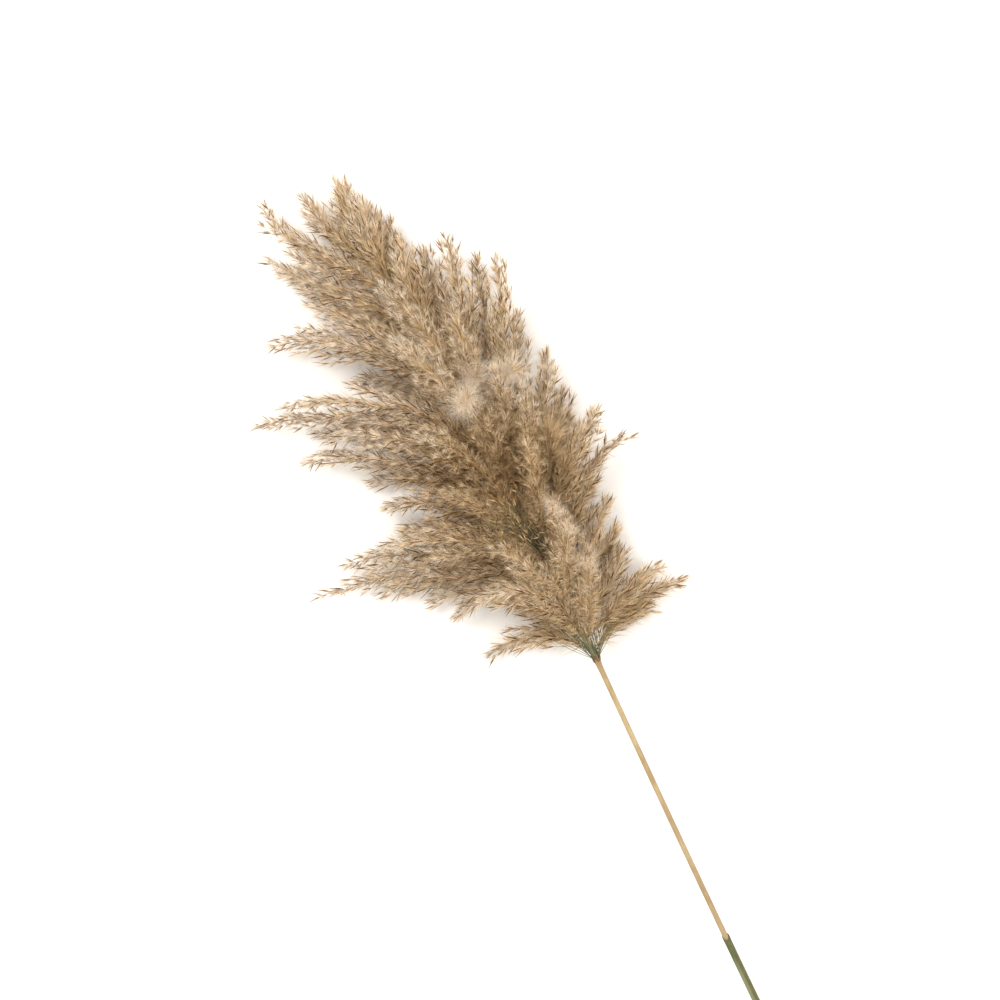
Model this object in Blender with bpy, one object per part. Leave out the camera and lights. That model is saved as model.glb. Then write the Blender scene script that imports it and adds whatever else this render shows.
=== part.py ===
"""A dried reed with its plume, lying on a table as it does when picked.

Metres, +Z up, +Y from the cut end of the stem towards the plume. The plume is laid out from
the neck, where its lowest sprays leave the stem, and the whole reed is moved last, so that
the middle of its footprint is at the origin and its lowest point is at Z = 0.
"""

import math

import bmesh
import bpy
import numpy as np
from mathutils import Vector
from mathutils.geometry import interpolate_bezier

MM = 0.001
UP = Vector((0, 0, 1))
RIGHT = Vector((1, 0, 0))

# Stem: it rests on its cut end, climbs to the neck and runs on inside the plume as its axis
STEM_LENGTH = 382 * MM
NECK_HEIGHT = 32 * MM
CUT_END_HEIGHT = 2.1 * MM
STEM_BOW = 1.2 * MM
STEM_ARCH = 0.9 * MM
STEM_SIDES = 12
STEM_RING_SPACING = 24
BORE_RADIUS = 1.15 * MM
BORE_DEPTH = 24 * MM

# The stem's outline, as distance from the cut end and radius, both in mm: the bare cut end, a
# swollen joint, a thinner stretch inside the leaf sheath, the bare stem and the swollen neck
STEM_OUTLINE = (
    (0, 1.95),
    (0.6, 2.1),
    (25, 2.05),
    (28, 2.2),
    (30, 2.6),
    (32, 2.3),
    (34, 1.75),
    (36, 1.7),
    (178, 1.7),
    (186, 1.95),
    (372, 1.9),
    (377, 2.0),
    (380, 2.35),
    (382, 2.3),
    (384, 1.8),
)
AXIS_BASE_RADIUS = 1.5 * MM
AXIS_TIP_RADIUS = 0.35 * MM
AXIS_TAPER = 0.8

# The plume's axis, from the neck to its end: across, along and above the table, in mm
AXIS_ROUTE = (
    (0, 0, 32),
    (-1, 33, 36),
    (-1, 74, 40),
    (1, 101, 42),
    (1, 143, 42),
    (-1, 186, 40),
    (-7, 232, 36),
    (-18, 279, 30),
    (-26, 315, 24),
)
AXIS_STEPS = 40

# Leaf sheath: a strip rolled a little over once round the stem, so that its edges lap
SHEATH_FOOT = 34.5 * MM
SHEATH_MOUTH = 186 * MM
SHEATH_MOUTH_SLANT = 3.5 * MM
SHEATH_INNER_RADIUS = 2.0 * MM
SHEATH_WALL = 0.22 * MM
SHEATH_LAP_GROWTH = 0.42 * MM
SHEATH_LAP_DEGREES = 45
SHEATH_EDGE_DEGREES = 60
SHEATH_HIGH_SIDE_DEGREES = 35
SHEATH_STEPS_ROUND = 15
SHEATH_STEPS_ALONG = 8

# Sprays: how far up the axis each leaves it, the point that it bends towards, its tip and its
# half width. The points are across, along and above the table, and all are in mm from the neck.
CROWN_SPRAYS = (
    (262, (-72, 320, 34), (-70, 357, 12), 10),
    (238, (-58, 282, 37), (-85, 322, 11), 11),
    (214, (-54, 276, 10), (-76, 304, 10), 10),
    (196, (-44, 262, 46), (-75, 284, 16), 10),
    (282, (-40, 322, 22), (-43, 348, 16), 9),
    (307, (-21, 334, 14), (-17, 345, 13), 7),
    (272, (-15, 300, 44), (-12, 328, 22), 9),
    (250, (-8, 292, 18), (-4, 322, 13), 9),
    (228, (-6, 262, 48), (0, 296, 32), 9),
    (206, (-4, 244, 12), (6, 280, 11), 9),
)
RIGHT_SPRAYS = (
    (188, (6, 254, 40), (15, 285, 14), 9),
    (172, (27, 258, 54), (28, 287, 22), 9),
    (158, (38, 240, 16), (42, 270, 14), 9),
    (146, (48, 233, 56), (53, 261, 22), 10),
    (130, (45, 200, 12), (52, 226, 11), 10),
    (116, (49, 167, 50), (56, 192, 20), 10),
    (104, (50, 144, 12), (58, 170, 13), 10),
    (78, (42, 130, 36), (57, 141, 12), 10),
    (88, (53, 132, 74), (71, 142, 30), 9),
    (50, (46, 136, 48), (87, 112, 24), 9),
    (62, (39, 95, 12), (52, 104, 10), 10),
    (38, (38, 78, 42), (52, 87, 18), 10),
    (30, (38, 56, 12), (51, 69, 12), 9),
    (22, (32, 46, 46), (46, 54, 14), 9),
    (14, (43, 36, 46), (64, 33, 14), 9),
    (6, (43, 30, 26), (78, 16, 12), 9),
    (3, (29, 22, 12), (49, 9, 8), 8),
)
LEFT_SPRAYS = (
    (178, (-42, 255, 50), (-109, 268, 12), 11),
    (168, (-27, 213, 12), (-71, 227, 9), 11),
    (150, (-62, 219, 72), (-119, 227, 28), 11),
    (138, (-80, 220, 38), (-141, 225, 10), 12),
    (128, (-60, 197, 12), (-109, 207, 9), 11),
    (118, (-49, 191, 76), (-98, 196, 32), 11),
    (106, (-70, 192, 42), (-123, 189, 12), 12),
    (98, (-40, 150, 12), (-90, 164, 9), 11),
    (86, (-34, 138, 68), (-86, 142, 13), 11),
    (76, (-28, 112, 14), (-83, 127, 9), 11),
    (68, (-46, 117, 80), (-96, 121, 34), 11),
    (56, (-62, 116, 36), (-127, 121, 13), 12),
    (46, (-66, 109, 24), (-153, 109, 10), 12),
    (37, (-40, 90, 8), (-116, 95, 8), 11),
    (30, (-26, 78, 30), (-89, 76, 9), 11),
    (22, (-34, 84, 50), (-75, 57, 11), 10),
    (15, (-8, 72, 84), (-54, 62, 42), 10),
    (9, (-14, 44, 20), (-38, 54, 9), 8),
    (5, (-22, 38, 22), (-63, 28, 8), 8),
)
UPPER_SPRAYS = (
    (184, (-11, 247, 64), (-25, 272, 42), 12),
    (160, (8, 214, 68), (14, 242, 52), 12),
    (155, (-17, 215, 84), (-34, 237, 56), 12),
    (124, (20, 180, 84), (19, 196, 72), 12),
    (112, (0, 168, 92), (-4, 184, 74), 12),
    (98, (30, 160, 88), (31, 180, 66), 12),
    (81, (-11, 160, 98), (-46, 176, 62), 12),
    (70, (13, 124, 96), (20, 148, 76), 12),
    (60, (-14, 124, 92), (-46, 138, 54), 12),
    (34, (14, 84, 86), (20, 106, 76), 12),
    (25, (-8, 76, 84), (-34, 96, 62), 11),
    (12, (18, 56, 70), (27, 72, 62), 10),
)
STALK_RADIUS = 0.55 * MM
STALK_SHARE = 0.16
TIER_LENGTH = 17 * MM
LEAST_TIERS = 3
MOST_TIERS = 7
SPRAY_SIDES = 6
SPRAY_STEPS = 28
TOOTH_PUSH = 0.22
TOOTH_DIP = 0.72
WAIST = 0.6

# Space that the solids keep from each other
CLEARANCE = 0.3 * MM
SHARE_OF_GAP = 0.46
STALK_TO_AXIS = 0.55 * MM
STALK_TURN = 0.5

STRAW = (0.62, 0.43, 0.22, 1)
SAGE = (0.22, 0.23, 0.12, 1)
PLUME_BROWN = (0.33, 0.235, 0.14, 1)
PLUME_PALE = (0.46, 0.34, 0.22, 1)


def clear_scene():
    for old in list(bpy.data.objects):
        bpy.data.objects.remove(old, do_unlink=True)


def make_material(name, colour, roughness):
    material = bpy.data.materials.new(name)
    material.use_nodes = True
    shader = material.node_tree.nodes["Principled BSDF"]
    shader.inputs["Base Color"].default_value = colour
    shader.inputs["Roughness"].default_value = roughness
    material.diffuse_color = colour
    return material


def evenly(points, steps):
    """The same line with steps + 1 points, the same distance apart."""
    points = np.array(points)
    travelled = np.concatenate([[0], np.cumsum(np.linalg.norm(np.diff(points, axis=0), axis=1))])
    wanted = np.linspace(0, travelled[-1], steps + 1)
    return np.stack([np.interp(wanted, travelled, points[:, k]) for k in range(3)], 1)


def smooth_route(points, steps):
    """A smooth line through all the given points."""
    points = [Vector(p) for p in points]
    ends = [2 * points[0] - points[1], *points, 2 * points[-1] - points[-2]]
    fine = []
    for before, a, b, after in zip(ends, ends[1:], ends[2:], ends[3:]):
        fine += interpolate_bezier(a, a + (b - before) / 6, b - (after - a) / 6, b, 16)
    return evenly(fine, steps)


def line_length(line):
    return float(np.linalg.norm(np.diff(line, axis=0), axis=1).sum())


def point_along(line, share):
    """The point and the direction at a share of an evenly spaced line."""
    place = min(max(share, 0), 1) * (len(line) - 1)
    i = min(int(place), len(line) - 2)
    step = line[i + 1] - line[i]
    return Vector(line[i] + step * (place - i)), Vector(step).normalized()


def sides_of(direction, hint):
    """Two directions across a line, the first as near as can be to the hint."""
    first = (hint - direction * hint.dot(direction)).normalized()
    return first, direction.cross(first)


def ring(centre, direction, radius, sides):
    """A ring of points square across a direction."""
    across, up = sides_of(direction, RIGHT)
    angles = [math.tau * k / sides for k in range(sides)]
    return [centre + (across * math.cos(a) + up * math.sin(a)) * radius for a in angles]


def solid_from_rings(name, start, rings, end, material, smooth_degrees):
    """One closed solid: a point, the rings in order, and a point at the other end."""
    shape = bmesh.new()
    loops = [[shape.verts.new(p) for p in points] for points in rings]
    first = shape.verts.new(start)
    last = shape.verts.new(end)
    count = len(loops[0])
    for k in range(count):
        after = (k + 1) % count
        shape.faces.new((first, loops[0][after], loops[0][k]))
        shape.faces.new((last, loops[-1][k], loops[-1][after]))
        for low, high in zip(loops, loops[1:]):
            shape.faces.new((low[k], low[after], high[after], high[k]))
    finish(name, shape, material, smooth_degrees)


def finish(name, shape, material, smooth_degrees):
    """Turns the shape's faces outwards and makes it an object with its material."""
    bmesh.ops.recalc_face_normals(shape, faces=shape.faces)
    mesh = bpy.data.meshes.new(name)
    shape.to_mesh(mesh)
    shape.free()
    mesh.shade_smooth()
    mesh.set_sharp_from_angle(angle=math.radians(smooth_degrees))
    mesh.materials.append(material)
    bpy.context.scene.collection.objects.link(bpy.data.objects.new(name, mesh))


def stem_point(from_cut):
    """The middle of the stem at a distance from the cut end, up to the neck and just past it."""
    share = min(from_cut / STEM_LENGTH, 1)
    rise = CUT_END_HEIGHT + (NECK_HEIGHT - CUT_END_HEIGHT) * share
    sag = math.sin(math.pi * share)
    return Vector((-STEM_BOW * sag, from_cut - STEM_LENGTH, rise + STEM_ARCH * sag))


def axis_radius(share):
    """Radius of the plume's axis, which tapers from the neck to its end."""
    return AXIS_BASE_RADIUS + (AXIS_TIP_RADIUS - AXIS_BASE_RADIUS) * share**AXIS_TAPER


def make_stem(axis, material):
    """One solid: the hollow cut end, the joint, the bare stem, the neck and the plume's axis."""
    distances, widths = zip(*STEM_OUTLINE)
    between = range(STEM_RING_SPACING * 2, int(STEM_LENGTH / MM), STEM_RING_SPACING)
    stations = sorted({*distances, *between})
    places = [stem_point(d * MM) for d in stations]
    radii = [np.interp(d, distances, widths) * MM for d in stations]
    for i in range(2, len(axis), 2):
        places.append(Vector(axis[i]))
        radii.append(axis_radius(i / (len(axis) - 1)))
    rings = []
    for i, (place, radius) in enumerate(zip(places, radii)):
        along = places[min(i + 1, len(places) - 1)] - places[max(i - 1, 0)]
        rings.append(ring(place, along.normalized(), radius, STEM_SIDES))
    inwards = (places[2] - places[0]).normalized()
    bore_end = places[0] + inwards * BORE_DEPTH
    rings.insert(0, ring(places[0], inwards, BORE_RADIUS, STEM_SIDES))
    rings.insert(0, ring(bore_end, inwards, BORE_RADIUS, STEM_SIDES))
    tip = places[-1] + (places[-1] - places[-2]).normalized() * MM
    solid_from_rings("stem", bore_end + inwards * BORE_RADIUS / 2, rings, tip, material, 40)


def make_sheath(material):
    """The leaf sheath: a thin strip rolled round the stem, open at its slanted mouth."""
    foot = stem_point(SHEATH_FOOT)
    direction = (stem_point(SHEATH_MOUTH) - foot).normalized()
    across, up = sides_of(direction, RIGHT)
    edge = math.radians(SHEATH_EDGE_DEGREES)
    high_side = math.radians(SHEATH_HIGH_SIDE_DEGREES)
    shape = bmesh.new()
    stations = []
    for j in range(SHEATH_STEPS_ALONG + 1):
        share = j / SHEATH_STEPS_ALONG
        centre = stem_point(SHEATH_FOOT + (SHEATH_MOUTH - SHEATH_FOOT) * share)
        inner, outer = [], []
        for k in range(SHEATH_STEPS_ROUND + 1):
            angle = math.radians(360 + SHEATH_LAP_DEGREES) * k / SHEATH_STEPS_ROUND
            radius = SHEATH_INNER_RADIUS + SHEATH_LAP_GROWTH * angle / math.tau
            outward = across * math.cos(edge + angle) + up * math.sin(edge + angle)
            slant = SHEATH_MOUTH_SLANT * share**6 * (math.cos(angle - high_side) - 1) / 2
            place = centre + direction * slant
            inner.append(shape.verts.new(place + outward * radius))
            outer.append(shape.verts.new(place + outward * (radius + SHEATH_WALL)))
        stations.append((inner, outer))
    for (inner, outer), (next_inner, next_outer) in zip(stations, stations[1:]):
        for k in range(SHEATH_STEPS_ROUND):
            shape.faces.new((outer[k], outer[k + 1], next_outer[k + 1], next_outer[k]))
            shape.faces.new((inner[k + 1], inner[k], next_inner[k], next_inner[k + 1]))
        for k in (0, SHEATH_STEPS_ROUND):
            shape.faces.new((inner[k], outer[k], next_outer[k], next_inner[k]))
    for inner, outer in (stations[0], stations[-1]):
        for k in range(SHEATH_STEPS_ROUND):
            shape.faces.new((inner[k], inner[k + 1], outer[k + 1], outer[k]))
    finish("leaf_sheath", shape, material, 40)


def spray_line(axis, leaves, bend, tip, order):
    """The middle line of one spray: it leaves the axis, arches over its bend and comes down to its tip."""
    bend = Vector(bend) * MM
    tip = Vector(tip) * MM
    share = leaves * MM / line_length(axis)
    base, along = point_along(axis, share)
    outward, up = sides_of(along, bend - base)
    turn = STALK_TURN * (order % 3 - 1)
    side = outward * math.cos(turn) + up * math.sin(turn)
    start = base + side * (axis_radius(share) + STALK_RADIUS + STALK_TO_AXIS)
    curve = interpolate_bezier(start, start.lerp(bend, 2 / 3), tip.lerp(bend, 2 / 3), tip, 2 * SPRAY_STEPS)
    return evenly(curve, SPRAY_STEPS)


def distance_to_line(points, line):
    """How far each point is from a line of short straight steps."""
    start = line[:-1]
    step = np.diff(line, axis=0)
    along = ((points[:, None] - start) * step).sum(2) / (step * step).sum(1)
    nearest = start + np.clip(along, 0, 1)[..., None] * step
    return np.linalg.norm(points[:, None] - nearest, axis=2).min(1)


def room_round(lines, axis):
    """For each point of each line, how far its solid may reach and stay clear of all the others.

    Each solid takes a little less than half of the way to the nearest other line, so no two can meet.
    """
    room = []
    for i, line in enumerate(lines):
        others = [distance_to_line(line, other) for j, other in enumerate(lines) if j != i]
        shared = np.min(others, axis=0) * SHARE_OF_GAP - CLEARANCE / 2
        to_axis = distance_to_line(line, axis) - AXIS_BASE_RADIUS - CLEARANCE
        room.append(np.minimum(shared, to_axis))
    return room


def fullness(share):
    """How full a spray is along its length, from 0 on its bare stalk to 1 at its widest."""
    past_stalk = max(share - STALK_SHARE, 0) / (1 - STALK_SHARE)
    return min(1, past_stalk / 0.4) ** 0.75 * (1 - 0.8 * past_stalk**2.4)


def make_spray(name, line, room, half_width, material):
    """One spray: a thin stalk, then tiers of spikelets whose points stand out forwards."""
    tiers = round(line_length(line) * (1 - STALK_SHARE) / TIER_LENGTH)
    tiers = min(max(tiers, LEAST_TIERS), MOST_TIERS)
    tier_share = (1 - STALK_SHARE) / (tiers + 0.6)

    def corner(share, angle, scale):
        share = min(share, 1)
        centre, direction = point_along(line, share)
        across, up = sides_of(direction, UP)
        allowed = np.interp(share, np.linspace(0, 1, len(room)), room)
        reach = max(min(half_width * MM * fullness(share), allowed), STALK_RADIUS) * scale
        place = centre + (across * math.cos(angle) + up * math.sin(angle)) * reach
        place.z = max(place.z, 0)
        return place

    def plain_ring(share, scale, turn):
        return [corner(share, turn + math.tau * k / SPRAY_SIDES, scale) for k in range(SPRAY_SIDES)]

    def toothed_ring(share, turn):
        """Every other corner stands out forwards, and the ones between dip and lie back."""
        push = TOOTH_PUSH * tier_share
        corners = []
        for k in range(0, SPRAY_SIDES, 2):
            corners.append(corner(share + push, turn + math.tau * k / SPRAY_SIDES, 1))
            corners.append(corner(share - push / 2, turn + math.tau * (k + 1) / SPRAY_SIDES, TOOTH_DIP))
        return corners

    rings = [plain_ring(0.004, 1, 0), plain_ring(STALK_SHARE, 1, 0)]
    for i in range(tiers):
        turn = math.pi * i / SPRAY_SIDES
        widest = STALK_SHARE + tier_share * (i + 0.85)
        rings.append(toothed_ring(widest, turn))
        if i < tiers - 1:
            rings.append(plain_ring(widest + 0.08 * tier_share, WAIST, turn))
    solid_from_rings(name, Vector(line[0]), rings, Vector(line[-1]), material, 35)


def make_plume(axis, materials):
    """All the sprays, each as full as its neighbours leave room for."""
    groups = {"crown": CROWN_SPRAYS, "right": RIGHT_SPRAYS, "left": LEFT_SPRAYS, "upper": UPPER_SPRAYS}
    names = []
    lines = []
    half_widths = []
    for group, sprays in groups.items():
        for number, (leaves, bend, tip, half_width) in enumerate(sprays, start=1):
            names.append(f"{group}_spray_{number:02d}")
            lines.append(spray_line(axis, leaves, bend, tip, len(lines)))
            half_widths.append(half_width)
    rooms = room_round(lines, axis)
    for i, (name, line, room, half_width) in enumerate(zip(names, lines, rooms, half_widths)):
        make_spray(name, line, room, half_width, materials[i % len(materials)])


def centre_on_footprint():
    """Moves the whole reed so that the middle of its footprint is at the origin."""
    corners = np.array([vertex.co for reed_part in bpy.data.objects for vertex in reed_part.data.vertices])
    low = corners.min(0)
    middle = (low + corners.max(0)) / 2
    for reed_part in bpy.data.objects:
        reed_part.location = (-middle[0], -middle[1], -low[2])


def main():
    clear_scene()
    axis = smooth_route([Vector(p) * MM for p in AXIS_ROUTE], AXIS_STEPS)
    make_stem(axis, make_material("straw_stem", STRAW, 0.45))
    make_sheath(make_material("sage_sheath", SAGE, 0.6))
    plume = (make_material("plume_brown", PLUME_BROWN, 0.9), make_material("plume_pale", PLUME_PALE, 0.9))
    make_plume(axis, plume)
    centre_on_footprint()


main()
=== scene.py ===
"""A dried reed with its plume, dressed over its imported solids.

The solids give every place: the stem's rings are read for its line and its width, and each
spray's rings for the line that its twig follows and for how far its spikelets reach.
"""

import math
from typing import NamedTuple

import bpy
import numpy as np
from mathutils import Matrix, Vector


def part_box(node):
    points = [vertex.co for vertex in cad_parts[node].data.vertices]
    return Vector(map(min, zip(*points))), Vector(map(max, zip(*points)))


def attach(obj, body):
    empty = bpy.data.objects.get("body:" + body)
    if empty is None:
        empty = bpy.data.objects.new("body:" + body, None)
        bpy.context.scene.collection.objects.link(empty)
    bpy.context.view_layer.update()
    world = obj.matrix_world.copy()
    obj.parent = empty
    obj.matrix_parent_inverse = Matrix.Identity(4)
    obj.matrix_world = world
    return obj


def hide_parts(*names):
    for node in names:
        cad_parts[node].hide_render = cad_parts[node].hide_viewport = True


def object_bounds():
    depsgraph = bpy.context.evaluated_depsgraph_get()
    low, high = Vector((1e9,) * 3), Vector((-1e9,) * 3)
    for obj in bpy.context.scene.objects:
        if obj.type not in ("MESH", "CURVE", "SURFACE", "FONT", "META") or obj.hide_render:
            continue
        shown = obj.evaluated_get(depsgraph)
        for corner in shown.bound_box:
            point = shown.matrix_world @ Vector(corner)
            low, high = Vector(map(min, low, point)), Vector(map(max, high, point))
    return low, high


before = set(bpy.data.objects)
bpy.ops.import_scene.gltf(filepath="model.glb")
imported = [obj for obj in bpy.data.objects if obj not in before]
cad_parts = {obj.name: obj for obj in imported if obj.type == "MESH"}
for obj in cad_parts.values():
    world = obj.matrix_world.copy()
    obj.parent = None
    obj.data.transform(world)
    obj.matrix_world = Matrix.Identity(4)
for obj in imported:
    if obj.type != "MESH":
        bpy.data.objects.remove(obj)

bl_info = {
    "name": "Dried Reed",
    "version": (1, 0, 0),
    "blender": (4, 5, 0),
    "location": "View3D > Sidebar > Reed",
    "description": "Dresses a dried reed: its stem, its leaf sheath and the sprays of its plume",
    "category": "Object",
}

MM = 0.001
CAD_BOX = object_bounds()
WHITE = (1.0, 1.0, 1.0)

# Strands bend back up below the lowest height, and rise past the solids' top by the give at most
LOWEST = 1.2 * MM
LID_GIVE = 3 * MM

# Two maps lay the strands out in columns, one column for each tone of each kind
STRAND_MAP = "strand"
BAKE_MAP = "OFBake"
COLUMNS = 24
TWIG, HUSK, HAIR = range(3)
FIRST_COLUMN = (0, 4, 15)
TONES = (4, 11, 9)

# A husk's share of the full length, its share of the full width and its chance to be pale
HUSK_FORMS = ((1.0, 1.3, 0.05), (0.8, 0.9, 0.40))

# Radii of twigs at their foot and their tip, in mm
MAIN_TWIG = (0.32, 0.18)
BRANCHLET = (0.18, 0.1)
NECK_STALK = (0.2, 0.12)
HEART_STALK = (0.2, 0.11)
TUFT_STALK = (0.2, 0.12)
TUFT_TWIG = (0.14, 0.1)

# Round places seen from above: the middle from the neck and the radius, in mm
# HEART is where strands are painted darker as shade in the thick of the plume
HEART = ((-8, 126), 42)
BLOWN_OPEN = ((20, 158), 48)

# Bare distance round the neck, and how far past it strands are all there, in mm
CLEAR_OF_SPIKELETS = (13, 27)
CLEAR_OF_HAIRS = (9, 20)

# The tufts that have blown open: start and end from the neck in mm, and size
TUFTS = (
    ((-7, 177), (-3, 181), 1.3),
    ((5, 190), (9, 193), 1.2),
    ((24, 186), (31, 183), 1.4),
    ((13, 104), (16, 96), 0.6),
    ((17, 88), (20, 82), 0.5),
    ((14, 67), (22, 56), 0.6),
)

# The haze beside the axis: start and end from the neck in mm, hairs and tone
HAZE = (
    ((-4, 146, 14), (-28, 174, 22), 700, 0.2),
    ((20, 112, 14), (34, 146, 26), 600, 0.3),
)

SPRAYS = [node for node in sorted(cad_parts) if "spray" in node]

# How full a spray is, where that isn't the usual 1.0
FULLNESS = {
    "crown_spray_01": 1.1,
    "crown_spray_02": 1.1,
    "crown_spray_05": 1.3,
    "crown_spray_07": 1.5,
    "crown_spray_08": 1.4,
    "left_spray_01": 1.8,
    "left_spray_04": 0.9,
    "left_spray_13": 1.2,
    "left_spray_19": 0.8,
    "right_spray_06": 1.2,
    "right_spray_07": 1.3,
    "right_spray_08": 1.3,
    "right_spray_10": 0.6,
    "right_spray_15": 0.7,
    "right_spray_16": 0.55,
    "right_spray_17": 0.9,
    "upper_spray_01": 1.3,
    "upper_spray_03": 1.3,
    "upper_spray_05": 1.4,
    "upper_spray_07": 1.3,
    "upper_spray_09": 1.3,
}


class Habit(NamedTuple):
    """How the sprays of one part of the plume grow.

    Upwards they keep to a share of their reach, the rise. Their spikelets have a scale, a gap as a
    share of the usual one, a tilt in degrees, a disorder, and an openness from 0 to 1. The share of
    its hairs that a spikelet has grows from the foot of the spray on. The shorter the taper, the
    blunter the tip.
    """

    rise: float = 1.0
    scale: float = 1.0
    gap: float = 1.0
    tilt: float = 26
    disorder: float = 1
    openness: float = 0.12
    hairs_at_foot: float = 0.15
    more_hairs_outwards: float = 1.15
    taper: float = 0.34
    haze_hairs: int = 120


HABITS = {
    "left": Habit(),
    "right": Habit(),
    "crown": Habit(taper=0.22, haze_hairs=220),
    "upper": Habit(
        rise=0.6,
        scale=0.66,
        gap=0.72,
        tilt=50,
        disorder=3,
        openness=0.25,
        hairs_at_foot=0.62,
        more_hairs_outwards=0,
    ),
}


def length_setting(name, description, mm):
    """A length, whose default is given in mm."""
    return bpy.props.FloatProperty(name=name, description=description, default=mm * MM, unit="LENGTH")


def number_setting(name, description, number):
    """A whole number."""
    return bpy.props.IntProperty(name=name, description=description, default=number, min=0)


def colour_setting(name, description, colour):
    """A colour."""
    return bpy.props.FloatVectorProperty(name=name, description=description, default=colour, subtype="COLOR")


class ReedSizes(bpy.types.PropertyGroup):
    """Sizes and numbers of the reed's small pieces."""

    husk_length: length_setting("Husk Length", "Length of the longest husk of a spikelet", 12)
    husk_width: length_setting("Husk Width", "Widest part of one husk", 0.8)
    hair_length: length_setting("Hair Length", "Length of one silky hair", 8.6)
    hair_width: length_setting("Hair Width", "Width of one silky hair at its root", 0.125)
    hairs: number_setting("Hairs", "Silky hairs in each spikelet", 26)
    silk_length: length_setting("Silk Length", "Length of the long hairs inside a spray", 16)
    silk_width: length_setting("Silk Width", "Width of the long hairs on a branchlet", 0.24)
    silks: number_setting("Silks", "Long hairs on each branchlet", 17)
    haze_width: length_setting("Haze Width", "Width of the long hairs deep in the plume", 0.6)
    foot_hairs: number_setting("Foot Hairs", "Long hairs round the foot of each spray", 210)
    spikelet_gap: length_setting("Spikelet Gap", "Distance between the spikelets of a branchlet", 4.3)
    branchlet_gap: length_setting("Branchlet Gap", "Distance between the branchlets of a spray", 4.6)
    branchlet_length: length_setting("Branchlet Length", "Length of the longest branchlets", 30)
    tuft_hairs: number_setting("Tuft Hairs", "Hairs in a blown tuft of size 1", 480)
    tuft_husks: number_setting("Tuft Husks", "Husks in each blown tuft", 14)
    heart_stalks: number_setting("Heart Stalks", "Dark stalks that show in the middle of the plume", 40)
    heart_husks: number_setting("Heart Husks", "Small husks over the dark stalks", 110)
    axis_hairs: number_setting("Axis Hairs", "Long hairs round the plume's axis", 3600)
    axis_hair_length: length_setting("Axis Hair Length", "Length of the hairs round the axis", 25)
    neck_scales: number_setting("Neck Scales", "Scales in the ring round the neck", 28)


class ReedColours(bpy.types.PropertyGroup):
    """Colours of the dry reed."""

    dark_husk: colour_setting("Dark Husk", "The darkest husks", (0.095, 0.033, 0.008))
    brown_husk: colour_setting("Brown Husk", "Most husks in the shade", (0.20, 0.080, 0.022))
    tan_husk: colour_setting("Tan Husk", "Most husks in the light", (0.46, 0.26, 0.10))
    straw_husk: colour_setting("Straw Husk", "The palest husks", (0.88, 0.68, 0.38))
    brown_hair: colour_setting("Brown Hair", "The darkest silky hairs", (0.23, 0.112, 0.031))
    beige_hair: colour_setting("Beige Hair", "Most silky hairs", (0.91, 0.68, 0.40))
    cream_hair: colour_setting("Cream Hair", "The palest silky hairs", (1.0, 0.90, 0.77))
    olive_twig: colour_setting("Olive Twig", "Stalks deep in the plume", (0.082, 0.077, 0.040))
    green_twig: colour_setting("Green Twig", "Twigs near the neck", (0.215, 0.205, 0.10))
    straw_twig: colour_setting("Straw Twig", "Twigs further out", (0.52, 0.37, 0.185))
    stem_straw: colour_setting("Stem Straw", "The bare stem", (0.445, 0.342, 0.182))
    neck_brown: colour_setting("Neck Brown", "The swollen neck", (0.24, 0.135, 0.065))
    sheath_sage: colour_setting("Sheath Sage", "The leaf sheath", (0.082, 0.087, 0.034))
    sheath_lap: colour_setting("Sheath Lap", "The paler strip of the sheath", (0.150, 0.165, 0.095))


def neighbours_of(node):
    """The corners of a solid's mesh, each once, and for each the set of corners that it shares an edge with."""
    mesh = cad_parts[node].data
    corners = np.array([v.co for v in mesh.vertices])
    places, where = np.unique(np.round(corners, 6), axis=0, return_inverse=True)
    where = where.ravel()
    joined = [set() for _ in places]
    for a, b in (edge.vertices for edge in mesh.edges):
        if where[a] != where[b]:
            joined[where[a]].add(where[b])
            joined[where[b]].add(where[a])
    return places, joined


def steps_from(start, joined):
    """Lists of corners, each list one edge further from the start."""
    steps = [[start]]
    seen = {start}
    while steps[-1]:
        following = {b for a in steps[-1] for b in joined[a]} - seen
        seen |= following
        steps.append(sorted(following))
    return steps[:-1]


def rings_of(node, near):
    """The rings of corners of a tube-shaped solid, from the end that lies nearer to the given points."""
    places, joined = neighbours_of(node)
    one_end = steps_from(0, joined)[-1][0]
    rings = [places[step] for step in steps_from(one_end, joined)]
    gaps = [np.linalg.norm(near - ring.mean(0), axis=1).min() for ring in (rings[0], rings[-1])]
    return rings if gaps[0] <= gaps[1] else rings[::-1]


def stem_rings():
    """The stem's rings, from its cut end to the tip of its axis."""
    return rings_of("stem", np.array([[0, CAD_BOX[0][1], 0]]))


def sheath_mouth():
    """Where the leaf sheath ends on the stem: the middle across it, and how far along."""
    low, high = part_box("leaf_sheath")
    return (low[0] + high[0]) / 2, high[1]


def neck_point():
    """The neck: the stem's widest ring past the leaf sheath."""
    past = [ring for ring in stem_rings() if ring.mean(0)[1] > sheath_mouth()[1]]
    return max(past, key=lambda ring: np.linalg.norm(ring - ring.mean(0), axis=1).max()).mean(0)


def lengths_along(line):
    """How far each point of a line is from its start, measured along it."""
    return np.concatenate([[0], np.cumsum(np.linalg.norm(np.diff(line, axis=0), axis=1))])


def at_shares(values, travelled, shares):
    """Values along a line, read at shares of its length."""
    wanted = np.asarray(shares) * travelled[-1]
    if values.ndim == 1:
        return np.interp(wanted, travelled, values)
    return np.stack([np.interp(wanted, travelled, values[:, k]) for k in range(values.shape[1])], -1)


def unit(vectors):
    """The vectors, each made one long."""
    return vectors / np.maximum(np.linalg.norm(vectors, axis=-1, keepdims=True), 1e-12)


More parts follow.
